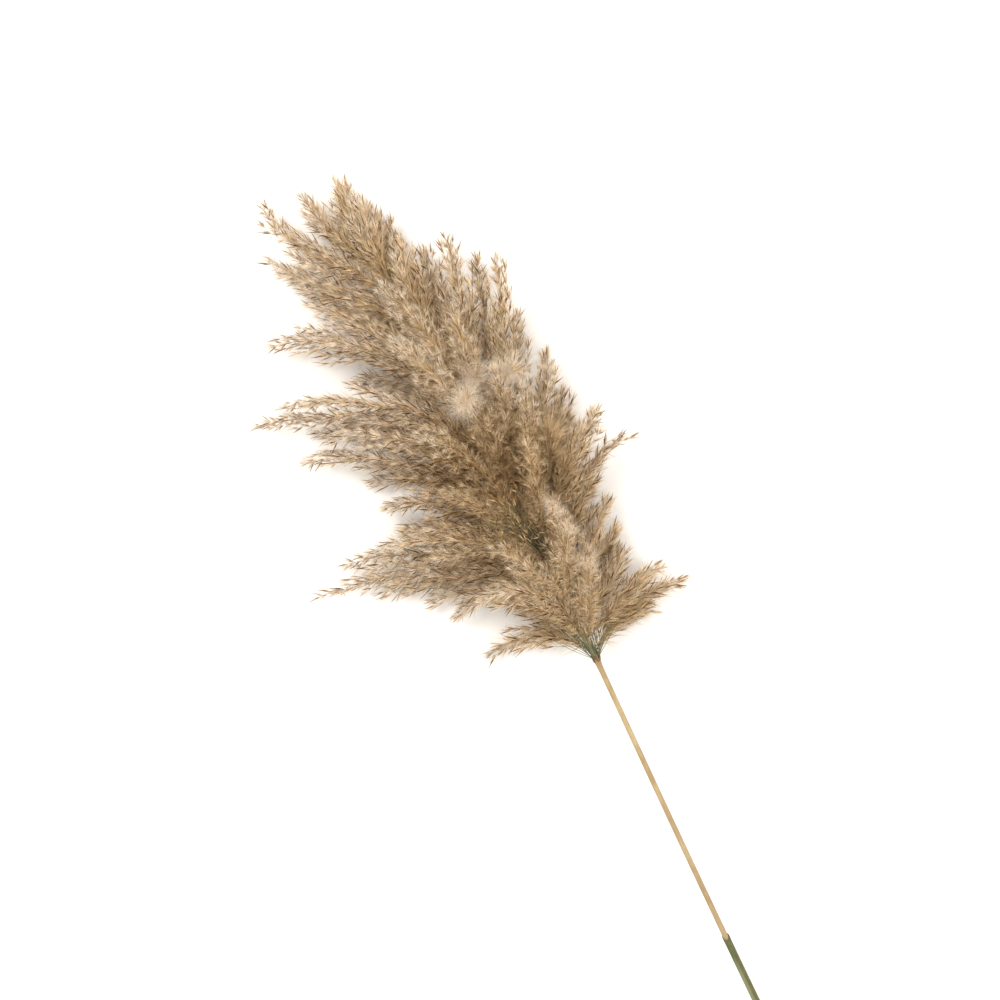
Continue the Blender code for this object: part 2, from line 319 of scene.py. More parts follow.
def across(ways, turns):
    """Unit vectors square to the ways, turned round them."""
    helper = np.where(np.abs(ways[:, 2:3]) < 0.9, (0.0, 0.0, 1.0), (1.0, 0.0, 0.0))
    side = unit(np.cross(helper, ways))
    other = np.cross(ways, side)
    return side * np.cos(turns)[:, None] + other * np.sin(turns)[:, None]


def bow(start, middle, end, points=9):
    """A line that leaves its start towards the middle and swings over to its end."""
    steps = np.linspace(0, 1, points)[:, None]
    return start * (1 - steps) ** 2 + middle * 2 * steps * (1 - steps) + end * steps**2


class Skeleton:
    """The line that a spray's main twig follows, and how far its spikelets reach from it."""

    def __init__(self, node, stem_line):
        rings = rings_of(node, stem_line)
        line = np.array([ring.mean(0) for ring in rings])
        reach = np.array([np.linalg.norm(ring - ring.mean(0), axis=1).max() for ring in rings])
        spread = np.maximum(reach, np.maximum(np.roll(reach, 1), np.roll(reach, -1)))
        spread[:2] = reach[:2]
        travelled = lengths_along(line)
        shares = np.linspace(0, 1, 49)
        fine = at_shares(line, travelled, shares)
        fine[1:-1] = (fine[:-2] + fine[1:-1] * 2 + fine[2:]) / 4
        self.line = fine
        self.travelled = lengths_along(fine)
        self.length = self.travelled[-1]
        self.reach = at_shares(spread, travelled, shares)

    def point(self, shares):
        """Points on the line."""
        return at_shares(self.line, self.travelled, shares)

    def way(self, shares):
        """Which way the line runs there."""
        step = 0.02
        return unit(self.point(np.minimum(shares + step, 1)) - self.point(np.maximum(shares - step, 0)))

    def reach_at(self, shares):
        """How far the spikelets reach there."""
        return at_shares(self.reach, self.travelled, shares)


class Blank:
    """One small closed shape along +Z from 0 to 1, modelled once and then copied.

    Each corner also has its place round the shape, 0, 0.5 or 1, and the two ends lie half-way.
    """

    def __init__(self, obj):
        mesh = obj.data
        mesh.calc_loop_triangles()
        self.places = np.array([v.co for v in mesh.vertices])
        self.faces = np.array([t.vertices for t in mesh.loop_triangles])
        turn = np.arctan2(self.places[:, 1], self.places[:, 0]) % math.tau
        on_line = np.hypot(self.places[:, 0], self.places[:, 1]) < 1e-6
        self.around = np.where(on_line, 0.5, np.round(turn / math.tau * 3) / 2 % 1.5)
        bpy.data.objects.remove(obj)
        bpy.data.meshes.remove(mesh)


def husk_blank():
    """A three-sided pointed husk: a cone whose foot is drawn back to a point."""
    widest = 0.32
    bpy.ops.object.select_all(action="DESELECT")
    middle = (0, 0, (1 + widest) / 2)
    bpy.ops.mesh.primitive_cone_add(
        vertices=3, radius1=0.5, radius2=0, depth=1 - widest, end_fill_type="TRIFAN", location=middle
    )
    bpy.ops.object.transform_apply(location=True)
    husk = bpy.context.object
    bpy.ops.object.mode_set(mode="EDIT")
    bpy.ops.mesh.select_all(action="DESELECT")
    bpy.ops.object.mode_set(mode="OBJECT")
    foot = min(husk.data.vertices, key=lambda v: Vector((v.co.x, v.co.y, v.co.z - widest)).length)
    foot.select = True
    bpy.ops.object.mode_set(mode="EDIT")
    bpy.ops.transform.translate(value=(0, 0, -widest))
    bpy.ops.object.mode_set(mode="OBJECT")
    return Blank(husk)


def hair_blank():
    """A hair: a three-sided spike with a closed foot."""
    bpy.ops.object.select_all(action="DESELECT")
    bpy.ops.mesh.primitive_cone_add(vertices=3, radius1=0.5, radius2=0, depth=1, location=(0, 0, 0.5))
    bpy.ops.object.transform_apply(location=True)
    return Blank(bpy.context.object)


def strand_map(kind, tones, around, along):
    """Where strands lie on the map: each in the column of its tone, turned round across it and running up it."""
    column = FIRST_COLUMN[kind] + np.round(np.clip(tones, 0, 1) * (TONES[kind] - 1))
    return np.stack(np.broadcast_arrays((column + 0.12 + 0.76 * around) / COLUMNS, 0.02 + 0.96 * along), -1)


class Tangle:
    """Many small shapes gathered as arrays, to become one mesh."""

    def __init__(self):
        self.places = []
        self.faces = []
        self.marks = []
        self.kinds = []
        self.count = 0

    def add(self, places, faces, marks, kind):
        """places is (shapes, corners, 3), faces index one shape's corners, marks is (shapes, corners, 2)."""
        shapes, corners = places.shape[:2]
        starts = self.count + corners * np.arange(shapes)
        self.places.append(places.reshape(-1, 3))
        self.faces.append((faces[None] + starts[:, None, None]).reshape(-1, 3))
        self.marks.append(marks.reshape(-1, 2))
        self.kinds.append(np.full(shapes * len(faces), kind))
        self.count += shapes * corners

    def copies(self, blank, kind, roots, ways, lengths, widths, turns, bend, tones):
        """Copies a blank along strands, each with its own root, way, length, width, turn and tone.

        The widths, the bend and the tones can be one number for all.
        """
        widths, bend, tones = (np.broadcast_to(one, len(roots)) for one in (widths, bend, tones))
        side = across(ways, turns)
        other = np.cross(ways, side)
        x, y, z = blank.places.T
        along = lengths[:, None] * z
        sideways = widths[:, None] * x + (bend * lengths)[:, None] * z**2
        places = (
            roots[:, None]
            + ways[:, None] * along[..., None]
            + side[:, None] * sideways[..., None]
            + other[:, None] * (widths[:, None] * y)[..., None]
        )
        self.add(places, blank.faces, strand_map(kind, tones[:, None], blank.around, z[None]), kind)

    def twig(self, line, radii, sides, tones):
        """A closed tube along a line, with a radius in mm and a tone at each point."""
        ways = unit(np.gradient(line, axis=0))
        side = across(ways, np.zeros(len(line)))
        other = np.cross(ways, side)
        angles = math.tau * np.arange(sides) / sides
        rings = line[:, None] + radii[:, None, None] * MM * (
            side[:, None] * np.cos(angles)[:, None] + other[:, None] * np.sin(angles)[:, None]
        )
        places = np.concatenate([rings.reshape(-1, 3), line[:1], line[-1:]])
        last = len(line) * sides
        faces = []
        for k in range(sides):
            after = (k + 1) % sides
            faces.append((last, after, k))
            faces.append((last + 1, last - sides + k, last - sides + after))
            for i in range(len(line) - 1):
                a, b = i * sides + k, i * sides + after
                faces.append((a, b, b + sides))
                faces.append((a, b + sides, a + sides))
        along = np.linspace(0, 1, len(line))[:, None]
        marks = strand_map(TWIG, tones[:, None], np.linspace(0, 1, sides), along).reshape(-1, 2)
        ends = strand_map(TWIG, tones[[0, -1]], np.array((0.5, 0.5)), np.array((0.0, 1.0)))
        self.add(places[None], np.array(faces), np.concatenate([marks, ends])[None], TWIG)

    def settle(self):
        """Bends what would reach below the table back up, and what stands above the solids back down."""
        highest = CAD_BOX[1][2]
        for places in self.places:
            heights = places[:, 2]
            low = heights < LOWEST
            heights[low] = LOWEST * np.exp(heights[low] / LOWEST - 1)
            high = heights > highest
            heights[high] = highest + LID_GIVE * (1 - np.exp((highest - heights[high]) / LID_GIVE))

    def piece(self, name, materials):
        """One object of all the shapes, with the material of its kind on each."""
        places = np.concatenate(self.places)
        faces = np.concatenate(self.faces)
        marks = np.concatenate(self.marks)[faces.ravel()].astype(np.float32).ravel()
        mesh = bpy.data.meshes.new(name)
        mesh.from_pydata(places, [], faces)
        for map_name in (STRAND_MAP, BAKE_MAP):
            mesh.uv_layers.new(name=map_name).uv.foreach_set("vector", marks)
        mesh.polygons.foreach_set("material_index", np.concatenate(self.kinds).astype(np.int32))
        mesh.shade_smooth()
        for material in materials:
            mesh.materials.append(material)
        obj = bpy.data.objects.new(name, mesh)
        bpy.context.scene.collection.objects.link(obj)
        return obj


class Plume:
    """What all the sprays share: sizes, materials, the small shapes to copy, and where everything is."""

    def __init__(self, scene):
        self.sizes = scene.reed_sizes
        self.materials = strand_materials(scene.reed_colours)
        self.husk = husk_blank()
        self.hair = hair_blank()
        self.stem_line = np.array([ring.mean(0) for ring in stem_rings()])
        self.neck = neck_point()
        self.bones = {node: Skeleton(node, self.stem_line) for node in SPRAYS}

    def within(self, places, middle, radius):
        """1 in the middle of a round place seen from above, falling off to 0 past its radius."""
        off = np.linalg.norm((places - self.neck)[:, :2] - np.array(middle) * MM, axis=1)
        return np.exp(-((off / (radius * MM)) ** 2))

    def near_neck(self, places):
        """1 at the neck, falling off to 0 away from it."""
        return np.exp(-np.linalg.norm(places - self.neck, axis=-1) / (30 * MM))

    def clear_of_neck(self, rng, places, bare, blend):
        """Which strands stand: none within the bare distance from the neck, and all past a blend beyond it."""
        away = np.linalg.norm(places - self.neck, axis=1)
        return rng.random(len(places)) < (away - bare * MM) / (blend * MM)

    def shared_tufts(self):
        """The tufts that each spray carries: each tuft lies on the highest spray below its middle."""
        carried = {node: [] for node in SPRAYS}
        for *ends, size in TUFTS:
            places = self.neck[:2] + np.array(ends) * MM
            best = None
            for node, bones in self.bones.items():
                off = np.linalg.norm(bones.line[:, :2] - places.mean(0), axis=1)
                at = off.argmin()
                top = bones.line[at, 2] + bones.reach[at]
                if off[at] < 0.8 * bones.reach[at] + 2 * MM and (best is None or top > best[0]):
                    best = (top, node)
            start, end = (np.array((*place, best[0] - 1.5 * MM)) for place in places)
            carried[best[1]].append((start, end, size))
        return carried


class Growth:
    """Strands that grow together into one piece, with random numbers of their own."""

    def __init__(self, plume, seed):
        self.plume = plume
        self.sizes = plume.sizes
        self.rng = np.random.default_rng(seed)
        self.tangle = Tangle()

    def random_turns(self, count):
        """Turns to any side."""
        return self.rng.uniform(0, math.tau, count)

    def twig(self, line, radii, sides, tones):
        """A twig along a line, with its radii in mm and its tones given at its foot and its tip."""
        self.tangle.twig(line, np.linspace(*radii, len(line)), sides, np.linspace(*tones, len(line)))

    def husks(self, roots, ways, lengths, widths, turns, bend, tones):
        """Pointed husks."""
        self.tangle.copies(self.plume.husk, HUSK, roots, ways, lengths, widths, turns, bend, tones)

    def hairs(self, roots, ways, spread, lengths, widths, tones):
        """Straight hairs, each leaning off its way by its spread, to any side."""
        round_about = across(ways, self.random_turns(len(roots)))
        ways = ways * np.cos(spread)[:, None] + round_about * np.sin(spread)[:, None]
        turns = self.random_turns(len(roots))
        self.tangle.copies(self.plume.hair, HAIR, roots, ways, lengths, widths, turns, 0, tones)

    def silk(self, line, count, widest, length, width, tone):
        """Long hairs along a line, leaning off it by up to the widest angle, to fill what is round it."""
        rng = self.rng
        travelled = lengths_along(line)
        shares = rng.uniform(0, 0.85, count)
        shares = shares[self.plume.clear_of_neck(rng, at_shares(line, travelled, shares), *CLEAR_OF_HAIRS)]
        count = len(shares)
        roots = at_shares(line, travelled, shares)
        ways = unit(at_shares(line, travelled, shares + 0.1) - roots)
        lengths = length * rng.uniform(0.6, 1.1, count)
        widths = width * rng.uniform(0.6, 1.2, count)
        spread = np.radians(rng.uniform(4, widest, count))
        self.hairs(roots, ways, spread, lengths, widths, tone + rng.normal(0, 0.1, count))

    def piece(self, name):
        """The finished object."""
        return self.tangle.piece(name, self.plume.materials)


class Spray(Growth):
    """One spray: its main twig, its branchlets, the spikelets on them and the haze inside."""

    def __init__(self, plume, node, number):
        super().__init__(plume, 4100 + number)
        self.bones = plume.bones[node]
        self.habit = HABITS[node.split("_")[0]]
        self.fullness = FULLNESS.get(node, 1.0)
        self.spikelets = []

    def grow(self, tufts):
        """Grows the whole spray."""
        sizes, bones, habit = self.sizes, self.bones, self.habit
        main = bones.point(np.linspace(0, 1 - 0.95 * sizes.husk_length / bones.length, 22))
        self.green_twig(main, MAIN_TWIG, 5)
        self.dress(main, 0.12, 0.8 * sizes.spikelet_gap, 28)
        for foot, length, reach, turn, bare in self.lay_out_branchlets():
            line = self.branch_line(foot, length, reach, turn)
            self.green_twig(line, BRANCHLET, 3)
            self.dress(line, bare, (1 + 0.35 * foot) * sizes.spikelet_gap * habit.gap, habit.tilt)
            if foot < 0.6:
                self.fill(line, sizes.silks, 40, sizes.silk_width, 0.36)
        self.fill(bones.point(np.linspace(0.02, 0.45, 12)), sizes.foot_hairs, 70, sizes.haze_width, 0.36)
        self.fill(bones.point(np.linspace(0.25, 0.85, 12)), habit.haze_hairs, 60, sizes.haze_width, 0.44)
        for start, end, size in tufts:
            self.tuft(start, end, size)
        self.grow_spikelets()
        self.tangle.settle()

    def green_twig(self, line, radii, sides):
        """A straw twig that turns green near the neck."""
        tones = 1 - 0.75 * self.plume.near_neck(line)
        self.tangle.twig(line, np.linspace(*radii, len(line)), sides, tones)

    def fill(self, line, count, widest, width, tone):
        """Long hairs along a line, browner in the heart of the plume as painted shade."""
        # Painted shade: hairs in the heart of the plume are made browner
        tone -= 0.34 * self.plume.within(line[:1], *HEART)[0]
        self.silk(line, count, widest, self.sizes.silk_length, width, tone)

    def lay_out_branchlets(self):
        """Each branchlet's foot share, length, reach, turn and bare share: four long ones, then many short."""
        rng, bones, sizes = self.rng, self.bones, self.sizes
        wider = self.fullness**0.5
        rows = []
        for k in range(4):
            foot = rng.uniform(0.02, 0.08)
            length = bones.length * rng.uniform(0.42, 0.62)
            reach = 0.8 * wider * bones.reach_at(foot + length / bones.length)
            rows.append((foot, length, reach, k * math.tau / 4 + rng.normal(0, 0.3), 0.3))
        foot = 0.08
        turn = 0
        while foot < 0.74:
            left = (0.88 - foot) * bones.length
            length = min(sizes.branchlet_length * rng.uniform(0.7, 1.1), left * rng.uniform(0.7, 1.0) + 3 * MM)
            end = min(foot + length / bones.length, 1)
            narrowed = np.clip((1 - end) / self.habit.taper, 0, 1)
            reach = bones.reach_at(end) * (0.55 + 1.1 * rng.beta(1.4, 2.2)) * narrowed * wider + 1.2 * MM
            rows.append((foot, length, min(reach, 0.5 * length), turn + rng.normal(0, 0.3), 0.16))
            foot += sizes.branchlet_gap * (0.8 + foot) * rng.uniform(0.8, 1.2) / bones.length / self.fullness
            turn += 2.4
        return rows

    def branch_line(self, foot, length, reach, turn):
        """A branchlet leaves the main twig and swings round to run beside it."""
        steps = np.linspace(0, 1, 5)
        shares = np.minimum(foot + steps * length / self.bones.length, 1)
        side = across(self.bones.way(shares), np.full(len(steps), turn))
        side[:, 2] *= np.where(side[:, 2] > 0, self.habit.rise, 1)
        return self.bones.point(shares) + side * (reach * (1 - (1 - steps) ** 1.8))[:, None]

    def stations(self, line, bare, gap, tilt):
        """Roots and ways of the spikelets of a twig, which stand on it in two ranks, more or less in order."""
        rng, disorder = self.rng, self.habit.disorder
        travelled = lengths_along(line)
        places = np.arange(bare * travelled[-1], travelled[-1], gap)
        shares = np.append(places + rng.normal(0, 0.15 * gap, len(places)), travelled[-1]) / travelled[-1]
        shares = np.clip(shares, 0, 1)
        count = len(shares)
        roots = at_shares(line, travelled, shares)
        ahead = at_shares(line, travelled, np.minimum(shares + 0.1, 1))
        ways = unit(ahead - at_shares(line, travelled, shares - 0.1))
        turns = rng.uniform(0, math.tau) + math.pi * np.arange(count) + rng.normal(0, 0.5 * disorder, count)
        tilts = np.radians(rng.normal(tilt, 7 * disorder, count))
        tilts[-1] *= 0.2
        return roots, ways * np.cos(tilts)[:, None] + across(ways, turns) * np.sin(tilts)[:, None]

    def dress(self, line, bare, gap, tilt):
        """Stands spikelets on a twig: brown near the neck, darker in the heart as painted shade, paler towards -X
        as painted light, and paler and hairier outwards.
        """
        rng, plume, habit = self.rng, self.plume, self.habit
        roots, ways = self.stations(line, bare, gap, tilt)
        standing = plume.clear_of_neck(rng, roots, *CLEAR_OF_SPIKELETS)
        roots, ways = roots[standing], ways[standing]
        count = len(roots)
        ways[:, 2] *= np.where(ways[:, 2] > 0, habit.rise**2, 1)
        shares = np.clip(np.linalg.norm(roots - self.bones.line[0], axis=1) / self.bones.length, 0, 1)
        openness = np.clip(rng.normal(habit.openness + 0.55 * plume.within(roots, *BLOWN_OPEN), 0.15, count), 0, 1)
        hairy = np.clip(habit.hairs_at_foot + habit.more_hairs_outwards * shares, 0.25, 1)
        # Painted light: strands towards -X, the side the window light comes from, are made paler
        painted_light_side = np.clip((plume.neck[0] - roots[:, 0]) / (50 * MM), 0, 1)
        # Painted shade: strands in the heart of the plume are made darker; they are also darker near the neck
        heart_shade_and_neck_darkening = 0.54 * plume.within(roots, *HEART) + 0.3 * plume.near_neck(roots)
        tones = 0.31 + 0.34 * shares + 0.15 * painted_light_side - heart_shade_and_neck_darkening + rng.normal(0, 0.07, count)
        scales = rng.uniform(0.82, 1.1, count) * habit.scale
        self.spikelets.append((roots, unit(ways), scales, openness, tones, hairy))

    def grow_spikelets(self):
        """Each spikelet is a narrow fan of pointed husks, one long and dark, with silky hairs round them."""
        rng, sizes = self.rng, self.sizes
        columns = [np.concatenate(column) for column in zip(*self.spikelets)]
        roots, ways, scales, openness, tones, hairy = columns
        count = len(roots)
        fan_turn = self.random_turns(count)
        fan = across(ways, fan_turn)
        square = np.cross(ways, fan)
        for k, (long, wide, pale_share) in enumerate(HUSK_FORMS):
            sign = 1 if k % 2 else -1
            splay = sign * np.radians(rng.uniform(1.5, 11, count)) * (1 + openness)
            lean = np.radians(rng.normal(0, 4, count))
            husk_ways = unit(ways + fan * np.tan(splay)[:, None] + square * np.tan(lean)[:, None])
            feet = roots + ways * (scales * sizes.husk_length * 0.1 * k)[:, None]
            lengths = sizes.husk_length * scales * long * rng.uniform(0.75, 1.08, count) * (1 - 0.35 * openness)
            widths = sizes.husk_width * wide * scales * rng.uniform(0.75, 1.1, count) * (1 - 0.25 * openness)
            pale = rng.random(count) < pale_share
            husk_tones = np.where(pale, 0.62 + 0.4 * tones, tones - 0.42) + rng.uniform(-0.27, 0.27, count)
            turns = fan_turn + (0 if sign > 0 else math.pi)
            self.husks(feet, husk_ways, lengths, widths, turns, np.abs(rng.normal(0.03, 0.05, count)), husk_tones)
        kept = np.nonzero(rng.uniform(0, 1, (count, sizes.hairs)) < hairy[:, None])[0]
        roots, ways, scales, openness, tones, hairy = (column[kept] for column in columns)
        count = len(kept)
        feet = roots + ways * (rng.uniform(0, 0.25, count) * sizes.husk_length * scales)[:, None]
        lengths = sizes.hair_length * (0.4 + 0.6 * scales) * rng.uniform(0.6, 1.2, count)
        widths = sizes.hair_width * (0.9 + 1.1 * hairy) * rng.uniform(0.7, 1.25, count)
        hair_tones = tones + rng.normal(0.15, 0.1, count) + 0.2 * openness
        spread = np.radians(3 + (34 + 50 * openness) * rng.beta(1.3, 1.6, count))
        self.hairs(feet, ways, spread, lengths, widths, hair_tones)

    def tuft(self, start, end, size):
        """A branchlet whose seed heads have blown open: cream hairs to all sides, round a few golden husks."""
        rng, line = self.rng, self.bones.line
        foot = line[np.linalg.norm(line - (start + end) / 2, axis=1).argmin()]
        self.twig(np.linspace(foot, start, 4), TUFT_STALK, 3, (0.8, 0.8))
        self.twig(np.linspace(start, end, 4), TUFT_TWIG, 3, (0.9, 0.9))
        count = round(self.sizes.tuft_hairs * size)
        along = rng.normal(0.5, 0.4, count)[:, None]
        ways = unit(rng.normal(0, 1, (count, 3)) * (1, 1, 0.4))
        ways[:, 2] = np.minimum(ways[:, 2], 0.22)
        roots = start + (end - start) * along + rng.normal(0, 1.2, (count, 3)) * (1, 1, 0.3) * MM
        lengths = rng.uniform(6, 16, count) * size * MM
        widths = rng.uniform(0.08, 0.13, count) * MM
        self.hairs(roots, unit(ways), np.zeros(count), lengths, widths, rng.uniform(0.72, 1.0, count))
        count = self.sizes.tuft_husks
        along = rng.uniform(0, 1, count)[:, None]
        ways = unit(rng.normal(0, 0.8, (count, 3)) * (1, 1, 0.5) + unit(end - start) + (0, 0, 0.3))
        lengths = rng.uniform(3.5, 8, count) * size * MM
        turns = self.random_turns(count)
        self.husks(start + (end - start) * along, ways, lengths, 0.6 * MM, turns, 0.05, rng.uniform(0.6, 1, count))


class Stalks(Growth):
    """The green stalks at the neck and in the heart, the haze round the axis, and the neck's scales."""

    def grow(self):
        """Grows them all."""
        self.fan_out()
        self.fill_heart()
        self.fill_axis()
        self.tangle.settle()
        self.ring_neck()

    def fan_out(self):
        """Green stalks from the neck into the sprays that leave the axis near it."""
        rng, neck = self.rng, self.plume.neck
        for bones in self.plume.bones.values():
            leaves = bones.line[0, 1] - neck[1]
            if leaves > 75 * MM:
                continue
            for _ in range(4 if leaves < 30 * MM else 1):
                turn = rng.uniform(0, math.tau)
                start = neck + np.array((2 * math.cos(turn), 1.0, 2 * math.sin(turn))) * MM
                middle = bones.point(0.16) + rng.normal(0, 3, 3) * MM
                end = bones.point(rng.uniform(0.34, 0.5)) + rng.normal(0, 3, 3) * MM
                tones = (rng.uniform(0.05, 0.45), rng.uniform(0.25, 0.8))
                self.twig(bow(start, middle, end), NECK_STALK, 4, tones)

    def fill_heart(self):
        """Dark stalks that show in the middle of the plume, and small husks over them."""
        rng, neck = self.rng, self.plume.neck
        for _ in range(self.sizes.heart_stalks):
            start = neck + np.array((rng.normal(1, 3), rng.uniform(60, 84), 0)) * MM
            middle = neck + np.array((rng.normal(-3, 4), rng.uniform(84, 96), 47)) * MM
            end = neck + np.array((rng.normal(-13, 7), rng.uniform(102, 118), rng.uniform(44, 53))) * MM
            self.twig(bow(start, middle, end), HEART_STALK, 4, (0, rng.uniform(0, 0.35)))
        count = self.sizes.heart_husks
        places = (rng.normal(-9, 7, count), rng.uniform(84, 118, count), rng.uniform(44, 54, count))
        ways = unit(rng.normal(0, 0.6, (count, 3)) + (-0.3, 0.8, 0.2))
        lengths = rng.uniform(3.5, 9, count) * MM
        turns = self.random_turns(count)
        roots = neck + np.stack(places, -1) * MM
        self.husks(roots, ways, lengths, 0.5 * MM, turns, 0.05, rng.uniform(0.4, 1.0, count))

    def fill_axis(self):
        """Long hairs round the plume's axis and in the gaps beside it."""
        plume, sizes = self.plume, self.sizes
        axis = plume.stem_line[plume.stem_line[:, 1] > plume.neck[1] + 22 * MM]
        self.silk(axis, sizes.axis_hairs, 85, sizes.axis_hair_length, sizes.haze_width, 0.2)
        for start, end, count, tone in HAZE:
            line = plume.neck + np.linspace(start, end, 5) * MM
            self.silk(line, count, 85, sizes.axis_hair_length, sizes.haze_width, tone)

    def ring_neck(self):
        """A fringe of small scales round the neck."""
        rng, count = self.rng, self.sizes.neck_scales
        turns = self.random_turns(count)
        ring = np.stack([np.cos(turns), np.full(count, -0.4), np.sin(turns)], -1)
        ways = unit(ring * 0.35 + (0, 1, 0) + rng.normal(0, 0.12, (count, 3)))
        lengths = rng.uniform(2, 5.5, count) * MM
        roots = self.plume.neck + ring * 2.0 * MM
        self.husks(roots, ways, lengths, 0.55 * MM, turns, 0.04, rng.uniform(0.25, 0.75, count))


def put(tree, node, values):
    """Fills a node's inputs: links what comes from another node, and sets a number or a colour."""
    for name, value in values.items():
        if isinstance(value, bpy.types.NodeSocket):
            tree.links.new(value, node.inputs[name])
        else:
            node.inputs[name].default_value = value if isinstance(value, (int, float)) else (*value, 1)


def add_node(tree, kind, values=(), **settings):
    """A node with its settings, and with values in its inputs."""
    made = tree.nodes.new(kind)
    for name, value in settings.items():
        setattr(made, name, value)
    put(tree, made, dict(values))
    return made


def new_material(name):
    """A material with its node tree and its shader."""
    material = bpy.data.materials.new(name)
    material.use_nodes = True
    return material, material.node_tree, material.node_tree.nodes["Principled BSDF"]


def new_group(name, inputs, outputs):
    """A node group with number sockets, and its two end nodes."""
    group = bpy.data.node_groups.new(name, "ShaderNodeTree")
    for in_out, names in (("INPUT", inputs), ("OUTPUT", outputs)):
        for socket in names:
            group.interface.new_socket(socket, in_out=in_out, socket_type="NodeSocketFloat")
    return group, add_node(group, "NodeGroupInput"), add_node(group, "NodeGroupOutput")


def from_group(tree, name, *values):
    """What a node group makes of the values."""
    group = bpy.data.node_groups[name]
    return tuple(add_node(tree, "ShaderNodeGroup", enumerate(values), node_tree=group).outputs)


def sums(tree, operation, *values):
    """One sum on sockets and numbers."""
    return add_node(tree, "ShaderNodeMath", enumerate(values), operation=operation).outputs["Value"]


def parts_of(tree, vector):
    """The X, Y and Z of a vector."""
    return add_node(tree, "ShaderNodeSeparateXYZ", {"Vector": vector}).outputs


def place_on_object(tree):
    """Where a point is on its object, in metres."""
    return add_node(tree, "ShaderNodeTexCoord").outputs["Object"]


def ramp(tree, factor, stops):
    """Colours between stops of a place and a colour; the first two stops are the ends."""
    made = add_node(tree, "ShaderNodeValToRGB", {"Fac": factor})
    bands = made.color_ramp.elements
    for i, (place, colour) in enumerate(stops):
        band = bands[i] if i < 2 else bands.new(place)
        band.position = place
        band.color = (*colour, 1)
    return made.outputs["Color"]


def mix_colours(tree, factor, a, b, blend="MIX"):
    """Two colours blended by a factor."""
    values = {"Factor": factor, 6: a, 7: b}
    return add_node(tree, "ShaderNodeMix", values, data_type="RGBA", blend_type=blend).outputs[2]


def tinted(tree, colour, tint, factor=1.0):
    """A colour darkened or brightened by a tint."""
    return mix_colours(tree, factor, colour, tint, "MULTIPLY")


def noise(tree, vector, scale, detail):
    """Cloudy noise from 0 to 1."""
    values = {"Vector": vector, "Scale": scale, "Detail": detail}
    return add_node(tree, "ShaderNodeTexNoise", values).outputs["Fac"]


def bump(tree, height, distance):
    """Fine relief."""
    values = {"Strength": 0.5, "Distance": distance, "Height": height}
    return add_node(tree, "ShaderNodeBump", values).outputs["Normal"]


def rise_between(tree, axis, start, end):
    """0 at one place on an axis and before it, and 1 at another and past it, both in metres."""
    values = {"Value": parts_of(tree, place_on_object(tree))[axis], "From Min": start, "From Max": end}
    return add_node(tree, "ShaderNodeMapRange", values).outputs["Result"]


def strand_group():
    """Reads a strand's map: its tone from 0 to 1, the way round it and the way along it."""
    group, start, end = new_group("strand_marks", ("First Column", "Tones"), ("Tone", "Around", "Along"))
    marks = parts_of(group, add_node(group, "ShaderNodeUVMap", uv_map=STRAND_MAP).outputs["UV"])
    columns = sums(group, "MULTIPLY", marks["X"], COLUMNS)
    own = sums(group, "SUBTRACT", sums(group, "FLOOR", columns), start.outputs["First Column"])
    tone = sums(group, "DIVIDE", own, sums(group, "SUBTRACT", start.outputs["Tones"], 1.0))
    put(group, end, {"Tone": tone, "Around": sums(group, "FRACT", columns), "Along": marks["Y"]})


def strand_marks(tree, kind):
    """The tone, the way round and the way along of the strands of one kind."""
    return from_group(tree, "strand_marks", FIRST_COLUMN[kind], TONES[kind])


def twig_material(colours):
    """Twigs, olive green near the neck and straw further out."""
    material, tree, shader = new_material("dry_twig")
    tone, around, _ = strand_marks(tree, TWIG)
    own = ramp(tree, tone, ((0.0, colours.olive_twig), (1.0, colours.straw_twig), (0.34, colours.green_twig)))
    ribs = ramp(tree, around, ((0.3, (0.75, 0.72, 0.68)), (0.6, WHITE)))
    own = tinted(tree, own, ribs)
    put(tree, shader, {"Base Color": own, "Roughness": 0.6, "Specular IOR Level": 0.15})
    return material


def husk_material(colours):
    """Dry husks: each has its own tone between brown and straw, paler nerves, and darkens to its tip."""
    material, tree, shader = new_material("dry_husk")
    tone, around, along = strand_marks(tree, HUSK)
    stops = (
        (0.0, colours.dark_husk),
        (0.36, colours.brown_husk),
        (0.68, colours.tan_husk),
        (1.0, colours.straw_husk),
    )
    ends = ramp(tree, along, ((0.0, (1.0, 0.96, 0.88)), (1.0, (0.55, 0.46, 0.38)), (0.5, WHITE)))
    own = tinted(tree, ramp(tree, tone, stops), ends)
    side = (0.72, 0.68, 0.62)
    own = tinted(tree, own, ramp(tree, around, ((0.2, side), (0.5, WHITE), (0.8, side))), 0.6)
    put(tree, shader, {"Base Color": own, "Roughness": 0.55, "Specular IOR Level": 0.12})
    return material


def hair_material(colours):
    """Silky hairs, browner at the root and paler at the tip."""
    material, tree, shader = new_material("silky_hair")
    tone, _, along = strand_marks(tree, HAIR)
    own = ramp(tree, tone, ((0.0, colours.brown_hair), (0.55, colours.beige_hair), (1.0, colours.cream_hair)))
    ends = ramp(tree, along, ((0.0, (0.86, 0.80, 0.72)), (0.5, WHITE)))
    own = tinted(tree, own, ends)
    put(tree, shader, {"Base Color": own, "Roughness": 0.8, "Specular IOR Level": 0.1})
    return material


def strand_materials(colours):
    """The materials of twigs, husks and hairs, in the order of their kinds, made the first time."""
    if "strand_marks" not in bpy.data.node_groups:
        strand_group()
        return twig_material(colours), husk_material(colours), hair_material(colours)
    return tuple(bpy.data.materials[name] for name in ("dry_twig", "dry_husk", "silky_hair"))


